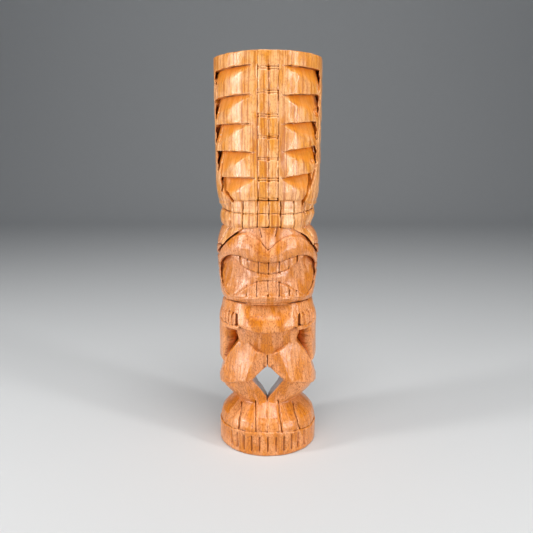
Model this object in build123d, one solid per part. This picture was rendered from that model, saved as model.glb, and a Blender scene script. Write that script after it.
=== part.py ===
from build123d import *

import math
import os

# A carved wooden tiki figure, cut in the round from one log. The figure squats on a round plinth
# and wears a tall notched headdress. Each mass that the carver's cuts divide is one node, and
# neighbours meet face to face on the cut between them.
#
# Millimetres. +Z is up, the figure faces -Y, and the origin is the centre of the resting face.
# Left and right are the figure's own: its left side is at +X. Angles are in degrees around Z,
# from the front (-Y) towards the figure's left (+X). Outlines seen from the front are (x, z)
# points on the left side, and the right side mirrors them.

# Driving dimensions
HEIGHT = 203.0
LOG_RADIUS = 27.6                   # the widest the log gets, at the top of the headdress
BODY_RADIUS = 26.8                  # the widest it gets below the headband
REACH = 40.0                        # past the log on every side, for cutting blocks

# Heights of the joints between the main masses
PLINTH_TOP = 13.2
ANKLE_TOP = 28.2
CROTCH = 52.8
CHEST_BOTTOM = 67.5
SHOULDER_TOP = 80.0
BROW_TOP = 120.5
HEADBAND_COURSE = 127.6             # between the two courses of the headband
HEADBAND_TOP = 133.6

# Plinth and feet
PLINTH_RADIUS = 26.7
PLINTH_BEVEL = 1.0
GOUGE_COUNT = 11                    # upright cuts round the front of the plinth
GOUGE_PITCH = 9.5                   # degrees
GOUGE_SIDE = 1.5                    # of the square bar that makes each V cut
GOUGE_LOW = 2.4
GOUGE_HIGH = 11.2
FOOT_RADIUS = 26.2
FOOT_LIP = 1.2                      # upright edge of the toes above the plinth
ANKLE_RADIUS = 17.4
TOE_GROOVE_ANGLES = (14.0, 38.0)
TOE_GROOVE_WIDTH = 0.9
TOE_GROOVE_DEPTH = 1.3

# Legs, trunk and arms, as (x, z) seen from the front
LEG_GAP_FRONT = ((0.0, 29.8), (8.2, 39.8), (0.0, 47.0))
LEG_GAP_BACK = ((0.0, 15.0), (9.0, 30.5), (0.0, 43.0))
LEG_DEPTH = 20.0                    # y of those two outlines, before and behind the axis
KNEE = ((25.9, 41.0), (26.8, 37.0))
THIGH_LOWER_EDGE = ((26.8, 33.2), (15.5, 38.6), (8.3, 39.6), (0.0, 47.3))
THIGH_UPPER_EDGE = ((0.0, CROTCH), (12.8, 58.8), (14.2, 57.3), (23.6, 43.4))
THIGH_BACK = 8.0                    # y of the plane between the thighs and the hips
FLANK_TOP = (15.6, CHEST_BOTTOM)    # where chest, belly and arm meet
HAND_INNER = 16.4                   # x of the hand's edge beside the chest
FINGER_CUTS = (47.0, 53.5, 60.0)    # degrees
FINGER_CUT_WIDTH = 0.7

# Face: radii of the layers of the head, from the mouth floor out to the lip
MOUTH_RADIUS = 23.5
TEETH_RADIUS = 25.1
BROW_RADIUS = 24.9
JAW_RADIUS = 25.7
LIP_RADIUS = 26.4
TEMPLE_START = 67.0                 # degrees: where the side layer of the head begins
TEMPLE_END = 108.0                  # degrees: where it runs into the back of the head
TOOTH_GAP = 0.6
UPPER_TOOTH_CUTS = (0.0, 5.4, 10.5, 14.4)
LOWER_TOOTH_CUTS = (0.0, 5.7, 10.8, 14.6)

# Face outlines, as (x, z) seen from the front
HOOD_ARCH = ((0.0, BROW_TOP), (12.4, 119.8), (19.3, 116.2), (26.5, 106.5))
LIP_TOP = ((0.0, 109.9), (4.8, 112.9), (8.8, 115.8), (13.3, 117.1), (19.4, 114.2), (26.5, 104.5))
MOUTH_LINE = ((26.5, 104.3), (19.4, 105.7), (14.2, 105.9), (10.0, 105.0), (7.1, 103.6), (0.0, 102.8))
UPPER_TEETH_TIPS = ((16.8, 103.6), (13.6, 101.0), (9.8, 99.2), (5.5, 97.8), (0.0, 97.3))
LOWER_TEETH_TIPS = ((0.0, 93.6), (5.7, 92.8), (10.8, 89.9), (14.0, 86.9), (16.8, 84.0))
JAW_INSIDE = ((22.7, 105.0), (22.5, 92.5), (20.4, 86.4), (16.8, 84.0), (10.8, 85.2), (0.0, 86.9))
JAW_OUTSIDE = ((0.0, 81.8), (16.4, 82.3), (22.2, 85.2), (24.4, 92.5), (25.2, 104.6))

# Headband
HEADBAND_RADIUS = 25.0
HEADBAND_GROOVE = 1.0               # width and depth of the cuts between its blocks
HEADBAND_FRONT_CUTS = (0.0, 12.0, 29.0, 48.0)
HEADBAND_BACK_CUTS = (66.0, 84.0, 102.0, 120.0, 138.0, 156.0, 174.0)

# Headdress
CROWN_CORE_RADIUS = 21.5
SPINE_HALF_WIDTH = 4.9
SPINE_JOINTS = (144.1, 153.7, 163.9, 174.0, 184.6, 195.3)
SPINE_GROOVE = 1.0
LEAF_COUNT = 5                      # notches on each side
LEAF_PITCH = 13.0
LEAF_TOP = 196.2                    # height of the highest undercut
LEAF_DROP = 8.8                     # how far a notch's lower edge falls on its way out
LEAF_SLOPE = 0.5                    # depth of a notch for each mm of its height
LEAF_ANGLES = (19.0, 36.0, 53.0, 70.0)
EDGE_END = 104.0                    # degrees: back of the side strips
EDGE_PITCH = 10.4
EDGE_NICK = 1.5


def turned(profile):
    """A solid turned about Z from (radius, height) points."""
    outline = Plane.XZ * make_face(Polyline(*profile, close=True))
    return revolve(outline, Axis.Z)


def drum(low, high, radius):
    """A plain cylinder between two heights."""
    return Pos(0, 0, (low + high) / 2) * Cylinder(radius, high - low)


def front_block(points, front=-REACH, back=REACH):
    """A block whose outline, in (x, z), is seen from the front."""
    outline = Plane.XZ.offset(-back) * make_face(Polyline(*points, close=True))
    return extrude(outline, back - front)


def side_block(points):
    """A block whose outline, in (y, z), is seen from the side."""
    outline = Plane.YZ.offset(-REACH) * make_face(Polyline(*points, close=True))
    return extrude(outline, 2 * REACH)


def slab(low, high):
    """Everything between two heights."""
    return Pos(0, 0, (low + high) / 2) * Box(2 * REACH, 2 * REACH, high - low)


def on_circle(angle, radius, height):
    """The point at an angle from the front, at a radius and a height."""
    turn = math.radians(angle)
    return (radius * math.sin(turn), -radius * math.cos(turn), height)


def sector(start, end):
    """A full-height wedge about Z between two angles less than a half turn apart."""
    far = 2 * REACH
    corners = [on_circle(angle, far, 0)[:2] for angle in (start, (start + end) / 2, end)]
    return extrude(make_face(Polyline((0, 0), *corners, close=True)), HEIGHT)


def radial_plate(angle, width, low, high):
    """An upright plate from the axis outwards, at one angle."""
    plate = Pos(0, -REACH / 2, (low + high) / 2) * Box(width, REACH, high - low)
    return Rot(0, 0, angle) * plate


def both_sides(points):
    """The outline of a symmetrical shape, from its points on the left side."""
    mirrored = [(-x, z) for x, z in reversed(points) if x > 0]
    return [*points, *mirrored]


def to_right(shape):
    """The same piece on the figure's other side."""
    return mirror(shape, about=Plane.YZ)


def save(name, shape):
    """Writes one node, with its solids side by side."""
    node = Compound(children=list(shape.solids()))
    node.label = name
    export_step(node, f"parts/{name}.step")


def save_pair(name, left):
    """Writes a left node and its mirror image."""
    save(f"left_{name}", left)
    save(f"right_{name}", to_right(left))


# ---------------------------------------------------------------- plinth and feet

def base_plinth():
    body = turned([
        (0, 0),
        (PLINTH_RADIUS - PLINTH_BEVEL, 0),
        (PLINTH_RADIUS, PLINTH_BEVEL),
        (PLINTH_RADIUS, PLINTH_TOP),
        (0, PLINTH_TOP),
    ])
    for index in range(GOUGE_COUNT):
        angle = (index - (GOUGE_COUNT - 1) / 2) * GOUGE_PITCH
        middle = on_circle(angle, PLINTH_RADIUS, (GOUGE_LOW + GOUGE_HIGH) / 2)
        bar = Rot(0, 0, angle + 45) * Box(GOUGE_SIDE, GOUGE_SIDE, GOUGE_HIGH - GOUGE_LOW)
        body -= Pos(*middle) * bar
    return body


def leg_gap():
    """The diamond opening between the legs, which runs down towards the back."""
    sections = []
    for y in (-REACH, REACH):
        share = (y + LEG_DEPTH) / (2 * LEG_DEPTH)
        points = []
        for (front_x, front_z), (back_x, back_z) in zip(LEG_GAP_FRONT, LEG_GAP_BACK):
            x = front_x + share * (back_x - front_x)
            points.append((x, front_z + share * (back_z - front_z)))
        sections.append(Plane.XZ.offset(-y) * make_face(Polyline(*both_sides(points), close=True)))
    return loft(sections, ruled=True)


def foot_flare(inset=0.0):
    """The cone of both feet, from the toes up to the ankles."""
    return turned([
        (0, PLINTH_TOP),
        (FOOT_RADIUS - inset, PLINTH_TOP),
        (FOOT_RADIUS - inset, PLINTH_TOP + FOOT_LIP),
        (ANKLE_RADIUS - inset, ANKLE_TOP),
        (0, ANKLE_TOP),
    ])


def left_foot(flare, gap):
    foot = flare & Pos(REACH / 2, 0, HEIGHT / 2) * Box(REACH, 2 * REACH, HEIGHT)
    inner = foot_flare(TOE_GROOVE_DEPTH)
    for angle in TOE_GROOVE_ANGLES:
        foot -= radial_plate(angle, TOE_GROOVE_WIDTH, PLINTH_TOP, ANKLE_TOP) - inner
    return foot - gap


# ---------------------------------------------------------------- legs and hips

def left_thigh(log, gap):
    outline = [*THIGH_UPPER_EDGE, *KNEE, *THIGH_LOWER_EDGE]
    profile = side_block([
        (-21.0, 60.0),
        (-24.6, 55.0),
        (-24.6, 40.0),
        (-22.0, 32.0),
        (THIGH_BACK, 32.0),
        (THIGH_BACK, 60.0),
    ])
    return (front_block(outline) & profile & log) - gap


def left_shin(log, gap, flare, thigh):
    """The lower leg, from the ankle up to the thigh, with the calf behind it."""
    outline = [(0.0, PLINTH_TOP), (20.4, PLINTH_TOP), (20.4, 24.5), *THIGH_LOWER_EDGE]
    profile = side_block([
        (-15.0, PLINTH_TOP),
        (-16.4, 26.0),
        (-21.4, 38.6),
        (-21.4, 47.3),
        (THIGH_BACK, 47.3),
        (21.6, 40.6),
        (21.6, 36.0),
        (16.0, 24.0),
        (16.0, PLINTH_TOP),
    ])
    return (front_block(outline) & profile & log) - gap - flare - thigh


def abdomen(log):
    outline = both_sides([(0.0, CHEST_BOTTOM), FLANK_TOP, THIGH_UPPER_EDGE[2], *THIGH_UPPER_EDGE[1::-1]])
    profile = side_block([
        (-20.6, CHEST_BOTTOM),
        (-19.2, 58.0),
        (-21.0, 50.0),
        (20.0, 50.0),
        (20.0, CHEST_BOTTOM),
    ])
    return front_block(outline) & profile & log


def hips(log, gap, belly, shins):
    """The seat at the back, above the calves and behind the thighs."""
    outline = both_sides([(0.0, 58.0), (21.5, 58.0), (24.0, 46.0), (20.0, 36.0), (0.0, 36.0)])
    profile = side_block([
        (THIGH_BACK, 36.0),
        (23.4, 41.0),
        (24.6, 50.0),
        (22.0, 58.0),
        (THIGH_BACK, 58.0),
    ])
    return (front_block(outline) & profile & log) - gap - belly - shins


# ---------------------------------------------------------------- chest and arms

def chest(log):
    outline = both_sides([(0.0, SHOULDER_TOP), (FLANK_TOP[0], SHOULDER_TOP), FLANK_TOP, (0.0, CHEST_BOTTOM)])
    profile = side_block([
        (-24.2, CHEST_BOTTOM),
        (-25.2, 69.4),
        (-24.2, 74.0),
        (-20.4, SHOULDER_TOP),
        (21.0, SHOULDER_TOP),
        (24.0, 74.0),
        (22.5, CHEST_BOTTOM),
    ])
    return front_block(outline) & profile & log


def left_hand(log):
    """A fist laid on the side of the chest, with cuts between its four fingers."""
    outline = [(HAND_INNER, 66.4), (HAND_INNER, 75.6), (20.5, 74.0), (25.8, 70.2), (27.4, 65.4), (22.0, 65.8)]
    fist = (front_block(outline, back=-6.0) & log) - drum(0, HEIGHT, 23.0)
    knuckle_depth = drum(0, HEIGHT, 25.2)
    for angle in FINGER_CUTS:
        fist -= radial_plate(angle, FINGER_CUT_WIDTH, 66.0, HEIGHT) - knuckle_depth
    return fist


def left_arm(log, hand, seat):
    """Shoulder, upper arm and forearm, open in front between the elbow and the belly."""
    outline = [
        (FLANK_TOP[0], SHOULDER_TOP),
        (24.2, SHOULDER_TOP),
        (25.8, 74.0),
        (26.8, 67.0),
        (26.3, 62.0),
        (26.4, 52.0),
        (25.9, 47.3),
        *THIGH_UPPER_EDGE[:1:-1],
        FLANK_TOP,
    ]
    profile = side_block([
        (-25.0, 42.0),
        (-25.0, 74.0),
        (-20.4, SHOULDER_TOP),
        (21.0, SHOULDER_TOP),
        (24.0, 74.0),
        (24.0, 65.0),
        (17.0, 52.0),
        (10.0, 42.0),
    ])
    hollow = front_block([(12.0, 50.0), (12.0, 67.2), (19.2, 67.2), (20.2, 60.0), (17.0, 52.0)], back=-7.0)
    slot = front_block([(12.0, 66.0), (12.0, 75.6), (HAND_INNER, 75.6), (HAND_INNER, 66.0)], back=-18.0)
    return (front_block(outline) & profile & log) - seat - hollow - slot - hand


# ---------------------------------------------------------------- head

def head_envelope():
    """The turned outside of the head, from the neck up to the headband."""
    return turned([
        (0, SHOULDER_TOP),
        (24.0, SHOULDER_TOP),
        (25.2, 86.0),
        (26.2, 96.0),
        (27.0, 105.0),
        (27.0, 110.0),
        (26.0, 114.0),
        (24.6, BROW_TOP),
        (0, BROW_TOP),
    ])


def face_layer(outline, radius, envelope):
    """A layer of the face, from the mouth floor out to a radius, inside an outline."""
    ring = drum(SHOULDER_TOP, BROW_TOP, radius) - drum(SHOULDER_TOP, BROW_TOP, MOUTH_RADIUS)
    front = sector(-TEMPLE_START, TEMPLE_START)
    return front_block(outline, back=0) & ring & envelope & front


def teeth(outline, cuts, envelope):
    row = face_layer(outline, TEETH_RADIUS, envelope)
    root = drum(0, HEIGHT, MOUTH_RADIUS + TOOTH_GAP)
    for x in cuts:
        for side in (-1, 1):
            row -= Pos(side * x, -REACH / 2, HEIGHT / 2) * Box(TOOTH_GAP, REACH, HEIGHT) - root
    return row


def upper_teeth(envelope):
    gum = [point for point in MOUTH_LINE if point[0] < UPPER_TEETH_TIPS[0][0]]
    return teeth(both_sides([*reversed(gum), *UPPER_TEETH_TIPS]), UPPER_TOOTH_CUTS, envelope)


def lower_teeth(envelope):
    gum = [point for point in JAW_INSIDE if point[0] < LOWER_TEETH_TIPS[-1][0]]
    return teeth(both_sides([*LOWER_TEETH_TIPS, *gum]), LOWER_TOOTH_CUTS, envelope)


def lower_lip(envelope):
    """The thin frame down both sides of the mouth, which thickens into the chin."""
    half = face_layer([*JAW_INSIDE, *JAW_OUTSIDE], JAW_RADIUS, envelope)
    return half + to_right(half)


def head(envelope):
    """The skull: the mouth floor and tongue in front, and the whole back of the head."""
    skin = envelope - drum(0, HEIGHT, MOUTH_RADIUS)
    return envelope - (skin & (sector(0, TEMPLE_END) + sector(-TEMPLE_END, 0)))


def left_temple(envelope):
    """The layer behind the mouth frame, on the side of the head."""
    return (envelope - drum(0, HEIGHT, MOUTH_RADIUS)) & sector(TEMPLE_START, TEMPLE_END)


# ---------------------------------------------------------------- headband

def cut_into_blocks(course, low, high):
    """Upright cuts between the blocks of one course of the headband."""
    root = drum(0, HEIGHT, HEADBAND_RADIUS - HEADBAND_GROOVE)
    right_cuts = [-angle for angle in HEADBAND_FRONT_CUTS[1:] + HEADBAND_BACK_CUTS]
    for angle in (*HEADBAND_FRONT_CUTS, *HEADBAND_BACK_CUTS, *right_cuts):
        course -= radial_plate(angle, HEADBAND_GROOVE, low, high) - root
    return course


def headband_lower(envelope):
    """The lower course, whose front hangs over the brow as a hood."""
    band = turned([
        (0, BROW_TOP),
        (HEADBAND_RADIUS - 0.4, BROW_TOP),
        (HEADBAND_RADIUS, HEADBAND_COURSE),
        (0, HEADBAND_COURSE),
    ])
    arch = [*HOOD_ARCH, (26.5, BROW_TOP)]
    hood = face_layer(both_sides(arch), LOG_RADIUS, envelope)
    return cut_into_blocks(band + hood, SHOULDER_TOP, HEADBAND_COURSE - HEADBAND_GROOVE)


def headband_upper():
    band = turned([
        (0, HEADBAND_COURSE),
        (HEADBAND_RADIUS - HEADBAND_GROOVE, HEADBAND_COURSE),
        (HEADBAND_RADIUS, HEADBAND_COURSE + HEADBAND_GROOVE),
        (HEADBAND_RADIUS + 0.4, HEADBAND_TOP),
        (0, HEADBAND_TOP),
    ])
    return cut_into_blocks(band, HEADBAND_COURSE, HEADBAND_TOP)


# ---------------------------------------------------------------- headdress

def crown_envelope():
    return turned([
        (0, HEADBAND_TOP),
        (26.2, HEADBAND_TOP),
        (27.0, 142.0),
        (27.3, 160.0),
        (LOG_RADIUS, 180.0),
        (LOG_RADIUS, HEIGHT),
        (0, HEIGHT),
    ])


def leaf_notch(top):
    """A wedge under one leaf: undercut flat above, and sloping up to the surface below."""
    past = 1.5
    sections = []
    for angle in LEAF_ANGLES:
        share = (angle - LEAF_ANGLES[0]) / (LEAF_ANGLES[-1] - LEAF_ANGLES[0])
        fall = 0.8 + (LEAF_DROP - 0.8) * share
        turn = math.radians(angle)
        plane = Plane(
            origin=(0, 0, 0),
            x_dir=(math.sin(turn), -math.cos(turn), 0),
            z_dir=(-math.cos(turn), -math.sin(turn), 0),
        )
        triangle = Polyline(
            (LOG_RADIUS - LEAF_SLOPE * fall, top),
            (LOG_RADIUS + past, top),
            (LOG_RADIUS + past, top - fall - past / LEAF_SLOPE),
            close=True,
        )
        sections.append(plane * make_face(triangle))
    return loft(sections, ruled=True)


def left_crown_leaves(skin, spine_strip):
    """The rim and the notched leaves between the spine and the edge strip."""
    region = (skin & sector(0, LEAF_ANGLES[-1])) - spine_strip
    levels = [LEAF_TOP - LEAF_PITCH * index for index in range(LEAF_COUNT)]
    for top in levels:
        region -= leaf_notch(top)
    leaves = []
    for low, high in zip([*levels, HEADBAND_TOP], [HEIGHT, *levels]):
        leaves.append(region & slab(low, high))
    return Compound(children=[solid for leaf in leaves for solid in leaf.solids()])


def left_crown_edge(skin):
    """The strip down the side, nicked at even heights."""
    edge = skin & sector(LEAF_ANGLES[-1], EDGE_END)
    count = int((HEIGHT - HEADBAND_TOP) / EDGE_PITCH)
    for index in range(1, count + 1):
        height = HEADBAND_TOP + EDGE_PITCH * index
        edge -= turned([
            (LOG_RADIUS - EDGE_NICK, height),
            (LOG_RADIUS + EDGE_NICK, height + EDGE_NICK),
            (LOG_RADIUS + EDGE_NICK, height - EDGE_NICK),
        ])
    return edge


def crown_spine(skin, spine_strip):
    """The comb down the front: two columns of blocks with a groove between them."""
    spine = skin & spine_strip
    root = drum(0, HEIGHT, LOG_RADIUS - 2 * SPINE_GROOVE)
    cuts = [Pos(0, -REACH / 2, HEIGHT / 2) * Box(SPINE_GROOVE, REACH, HEIGHT)]
    cuts += [slab(height - SPINE_GROOVE / 2, height + SPINE_GROOVE / 2) for height in SPINE_JOINTS]
    for cut in cuts:
        spine -= cut - root
    return spine


def crown_core(envelope, skin):
    """The middle of the headdress and its plain back."""
    return envelope - (skin & (sector(0, EDGE_END) + sector(-EDGE_END, 0)))


# ---------------------------------------------------------------- all the nodes

os.makedirs("parts", exist_ok=True)

log = drum(0, HEIGHT, BODY_RADIUS)
gap = leg_gap()
flare = foot_flare()
save("base_plinth", base_plinth())
save_pair("foot", left_foot(flare, gap))

thigh = left_thigh(log, gap)
shin = left_shin(log, gap, flare, thigh)
belly = abdomen(log)
seat = hips(log, gap, belly, shin + to_right(shin))
save_pair("thigh", thigh)
save_pair("shin", shin)
save("abdomen", belly)
save("hips", seat)

hand = left_hand(log)
save("chest", chest(log))
save_pair("hand", hand)
save_pair("arm", left_arm(log, hand, seat))

skull = head_envelope()
save("head", head(skull))
save_pair("temple", left_temple(skull))
save("brow", face_layer(both_sides([*HOOD_ARCH, *reversed(LIP_TOP)]), BROW_RADIUS, skull))
save("upper_lip", face_layer(both_sides([*LIP_TOP, *MOUTH_LINE]), LIP_RADIUS, skull))
save("upper_teeth", upper_teeth(skull))
save("lower_teeth", lower_teeth(skull))
save("lower_lip", lower_lip(skull))
save("headband_lower", headband_lower(skull))
save("headband_upper", headband_upper())

crown = crown_envelope()
crown_skin = crown - drum(0, HEIGHT, CROWN_CORE_RADIUS)
spine_strip = Pos(0, -REACH / 2, HEIGHT / 2) * Box(2 * SPINE_HALF_WIDTH, REACH, HEIGHT)
save("crown_core", crown_core(crown, crown_skin))
save("crown_spine", crown_spine(crown_skin, spine_strip))
save_pair("crown_leaves", left_crown_leaves(crown_skin, spine_strip))
save_pair("crown_edge", left_crown_edge(crown_skin))
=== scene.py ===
import math

import bpy
import numpy as np
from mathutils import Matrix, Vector


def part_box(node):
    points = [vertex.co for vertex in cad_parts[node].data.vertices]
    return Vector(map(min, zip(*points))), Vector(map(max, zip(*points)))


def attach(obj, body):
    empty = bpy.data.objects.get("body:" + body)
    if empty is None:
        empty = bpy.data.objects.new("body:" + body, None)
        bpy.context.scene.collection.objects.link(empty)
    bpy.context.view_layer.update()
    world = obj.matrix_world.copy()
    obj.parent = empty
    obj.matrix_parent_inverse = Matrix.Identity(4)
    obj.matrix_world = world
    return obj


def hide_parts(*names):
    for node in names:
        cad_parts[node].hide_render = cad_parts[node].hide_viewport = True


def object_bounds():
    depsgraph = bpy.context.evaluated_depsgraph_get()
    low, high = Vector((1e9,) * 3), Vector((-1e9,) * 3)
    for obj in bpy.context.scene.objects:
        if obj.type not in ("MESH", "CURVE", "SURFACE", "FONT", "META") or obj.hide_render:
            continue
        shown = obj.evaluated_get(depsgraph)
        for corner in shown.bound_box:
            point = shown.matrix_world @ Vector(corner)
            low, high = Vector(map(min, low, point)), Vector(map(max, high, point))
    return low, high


# The wood of a carved tiki, sculpted in one block of voxels and shared out among the CAD nodes.
# Every carved surface is a distance field in millimetres, negative inside the wood. The field is
# meshed once, each voxel belongs to the CAD node that holds it, and each node's skin and joint
# faces become one closed piece that stands for that node.

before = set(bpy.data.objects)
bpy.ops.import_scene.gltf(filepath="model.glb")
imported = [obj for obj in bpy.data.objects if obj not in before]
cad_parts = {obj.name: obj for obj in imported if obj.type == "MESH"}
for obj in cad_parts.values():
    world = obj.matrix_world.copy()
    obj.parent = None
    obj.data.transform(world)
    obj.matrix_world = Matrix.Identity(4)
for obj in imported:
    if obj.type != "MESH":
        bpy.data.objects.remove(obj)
cad_low, cad_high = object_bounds()

MM = 0.001
STEP = 0.4           # voxel size, mm
SEED = 11
FAR = 8.0                                   # field value well outside the wood, mm
MARGIN = 2.0                                # added round the log by a window, mm
INSIDE_BOX = 0.02                           # kept free inside the CAD model's box, mm

BOX_LOW = np.array(cad_low) / MM
BOX_HIGH = np.array(cad_high) / MM
HEIGHT = BOX_HIGH[2]
CROWN_RADIUS = BOX_HIGH[0]
PLINTH_RADIUS = (np.array(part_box("base_plinth")[1]) / MM)[0]
LOG_RADIUS = 26.5                           # on which lines round the body are measured
FRONT_LIMIT = -4.0                          # y behind which front lines fade out

rng = np.random.default_rng(SEED)


# ---- distance-field tools

def smooth_min(a, b, soft):
    """The lesser of two fields, rounded where they meet over a soft width."""
    blend = np.clip(0.5 + 0.5 * (b - a) / soft, 0.0, 1.0)
    return b + (a - b) * blend - soft * blend * (1.0 - blend)


def smooth_max(a, b, soft):
    """The greater of two fields, rounded the same way."""
    return -smooth_min(-a, -b, soft)


def ramp(low, high, value):
    """A smooth step from 0 at low to 1 at high."""
    share = np.clip((value - low) / (high - low), 0.0, 1.0)
    return share * share * (3.0 - 2.0 * share)


def bump_at(centre, width, value):
    """A smooth hump of height 1 at a value, gone a width away on either side."""
    return ramp(width, 0.0, np.abs(value - centre))


def flowing(points, closed=False, rounds=2):
    """The same line with its corners cut until it flows as a curve."""
    for _ in range(rounds):
        cut = [] if closed else [points[0]]
        pairs = zip(points, points[1:] + points[:1]) if closed else zip(points, points[1:])
        for (au, av), (bu, bv) in pairs:
            cut.append((0.75 * au + 0.25 * bu, 0.75 * av + 0.25 * bv))
            cut.append((0.25 * au + 0.75 * bu, 0.25 * av + 0.75 * bv))
        points = cut if closed else [*cut, points[-1]]
    return points


def stroke(points, u, v, closed=False):
    """Distance from a line drawn through points."""
    nearest = None
    ends = points[1:] + points[:1] if closed else points[1:]
    for (au, av), (bu, bv) in zip(points, ends):
        eu, ev = bu - au, bv - av
        if eu == 0.0 and ev == 0.0:
            continue
        along = np.clip(((u - au) * eu + (v - av) * ev) / (eu * eu + ev * ev), 0.0, 1.0)
        square = (u - au - along * eu) ** 2 + (v - av - along * ev) ** 2
        nearest = square if nearest is None else np.minimum(nearest, square)
    return np.sqrt(nearest)


def outline(points, u, v):
    """Signed distance from a closed outline, negative inside."""
    inside = np.zeros(np.broadcast(u, v).shape, bool)
    for (au, av), (bu, bv) in zip(points, points[1:] + points[:1]):
        if av != bv:
            crossing = au + (v - av) * (bu - au) / (bv - av)
            inside ^= ((av > v) != (bv > v)) & (u < crossing)
    edge = stroke(points, u, v, closed=True)
    return np.where(inside, -edge, edge)


def whole(left, right=None):
    """A closed outline from its points on each side, the second side like the first if left out."""
    return [*left, *[(-x, z) for x, z in reversed(right or left) if x > 0]]


def profile(points, z):
    """A radius at each height, joined through (height, radius) points."""
    heights, radii = zip(*points)
    return np.interp(z, heights, radii)


class Block:
    """The block of voxels that the figure is carved from."""

    def __init__(self, low, high, step):
        self.low = np.array(low, float)
        counts = np.ceil((np.array(high) - self.low) / step).astype(int) + 1
        self.axes = [self.low[i] + step * np.arange(counts[i]) for i in range(3)]
        self.field = np.full(counts, FAR, np.float32)

    def window(self, low, high):
        """The voxels between two corners, and their coordinates."""
        cuts = []
        for axis, a, b in zip(self.axes, low, high):
            cuts.append(slice(np.searchsorted(axis, a), np.searchsorted(axis, b)))
        x = self.axes[0][cuts[0]].astype(np.float32)[:, None, None]
        y = self.axes[1][cuts[1]].astype(np.float32)[None, :, None]
        z = self.axes[2][cuts[2]].astype(np.float32)[None, None, :]
        return tuple(cuts), x, y, z

    def add(self, low, high, shape, soft=0.5):
        """Wood laid on, inside a window."""
        cuts, x, y, z = self.window(low, high)
        self.field[cuts] = smooth_min(self.field[cuts], shape(x, y, z), soft)

    def cut(self, low, high, shape, soft=0.35):
        """Wood taken away, inside a window."""
        cuts, x, y, z = self.window(low, high)
        self.field[cuts] = smooth_max(self.field[cuts], -shape(x, y, z), soft)

    def score(self, low, high, line, depth, half_angle=32.0, soft=0.2):
        """A V cut of even depth under whatever surface is there, along a line."""
        cuts, x, y, z = self.window(low, high)
        surface = self.field[cuts]
        turn = math.radians(half_angle)
        blade = line(x, y, z) * math.cos(turn) - (surface + depth) * math.sin(turn)
        self.field[cuts] = smooth_max(surface, -blade, soft)


def radius_of(x, y):
    """Distance from the middle of the log."""
    return np.sqrt(x * x + y * y)


def angle_of(x, y):
    """Degrees around Z from the front, positive towards +X."""
    return np.degrees(np.arctan2(x, -y))


# ---- carving tools

def across(low_z, high_z, front_only=False, side=0):
    """The corners of a window over a band of heights, the front half or one side of it."""
    reach = CROWN_RADIUS + MARGIN
    low = [-reach if side <= 0 else -1.0, -reach, low_z]
    high = [reach if side >= 0 else 1.0, 1.0 if front_only else reach, high_z]
    return low, high


def mass(front, side, radius, soft=0.7):
    """A mass of the figure: an outline seen from the front, one from the side, and the log."""
    def shape(x, y, z):
        both = smooth_max(outline(front, x, z), outline(side, y, z), soft)
        return smooth_max(both, radius_of(x, y) - profile(radius, z), soft)
    return shape


def wander(u, v, size=0.16, reach=7.0):
    """The slow unsteadiness of a hand-cut edge, in millimetres."""
    k = 2.0 * math.pi / reach
    return size * (np.sin(k * u + 1.3 + 0.6 * np.sin(0.7 * k * v))
                   + 0.6 * np.sin(1.9 * k * v - 0.8 * k * u + 4.1))


def drawn(points, side=0):
    """Distance from a line drawn on the front in x and z, on one side of the figure or both."""
    def line(x, y, z):
        u = x if side == 0 else side * x
        return stroke(points, u + wander(z, u, 0.07), z + wander(u, z, 0.07))
    return line


def wound(points, side=1, radius=LOG_RADIUS):
    """Distance from a line drawn round the log, its points in degrees from the front and z."""
    arcs = [(math.radians(turn) * radius, z) for turn, z in points]

    def line(x, y, z):
        u = side * np.radians(angle_of(x, y)) * radius
        return stroke(arcs, u + wander(z, u, 0.1), z + wander(u, z, 0.1))
    return line


def facing_front(line):
    """The same line kept off the back of the figure."""
    return lambda x, y, z: line(x, y, z) + np.maximum(y - FRONT_LIMIT, 0.0)


def turned(shape, side):
    """A shape made for the +X side, on that side or mirrored on the other."""
    return lambda x, y, z: shape(side * x, y, z)


block = Block(BOX_LOW - 3 * STEP, BOX_HIGH + 3 * STEP, STEP)


def score_front(low_z, high_z, line, depth, half_angle, side=0):
    """A line scored on the front of the figure."""
    block.score(*across(low_z, high_z, True, side), facing_front(line), depth, half_angle)


def score_round(low_z, high_z, points, depth, half_angle, side=0, radius=LOG_RADIUS):
    """A line scored round the log, on one side of it or all round."""
    line = wound(points, side or 1, radius)
    block.score(*across(low_z, high_z, side=side), line, depth, half_angle)


# ---- plinth and feet

RIM_TURNS = (-180, -90, -52, -20, 0, 25, 60, 90, 180)
RIM_HEIGHTS = (12.4, 12, 12.2, 13.1, 13.5, 12.9, 11, 11.4, 12.4)
PLINTH = ((0, 26), (0.7, 26.5), (12, 26.6), (14, 26.5))
FOOT = ((10, 26), (12.6, 26), (14.6, 25.9), (17.7, 25), (20, 23.1), (22.3, 20.5), (24.4, 18.2),
    (26.2, 16.6), (28.2, 15.8), (30, 15.4), (33, 15))
FOOT_ENDS = (9, 31)
GOUGES, GOUGE_PITCH = 11, 9.5               # how many, and the degrees between them
GOUGE_LOW, GOUGE_HIGH = 1.8, 11.4


def plinth(x, y, z):
    """The round base, its top edge rising and falling a little round the log."""
    rim = np.interp(angle_of(x, y), RIM_TURNS, RIM_HEIGHTS)
    drum = smooth_max(radius_of(x, y) - profile(PLINTH, z), z - rim, 0.5)
    return smooth_max(drum, -z, 0.3)


def feet(x, y, z):
    """The dome of both feet together."""
    flare = radius_of(x, y) - profile(FOOT, z)
    return np.maximum(smooth_max(flare, z - FOOT_ENDS[1], 1.0), FOOT_ENDS[0] - z)


block.add(*across(-2, 15), plinth)
block.add(*across(8, 34), feet, soft=0.3)

# ---- legs

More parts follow.
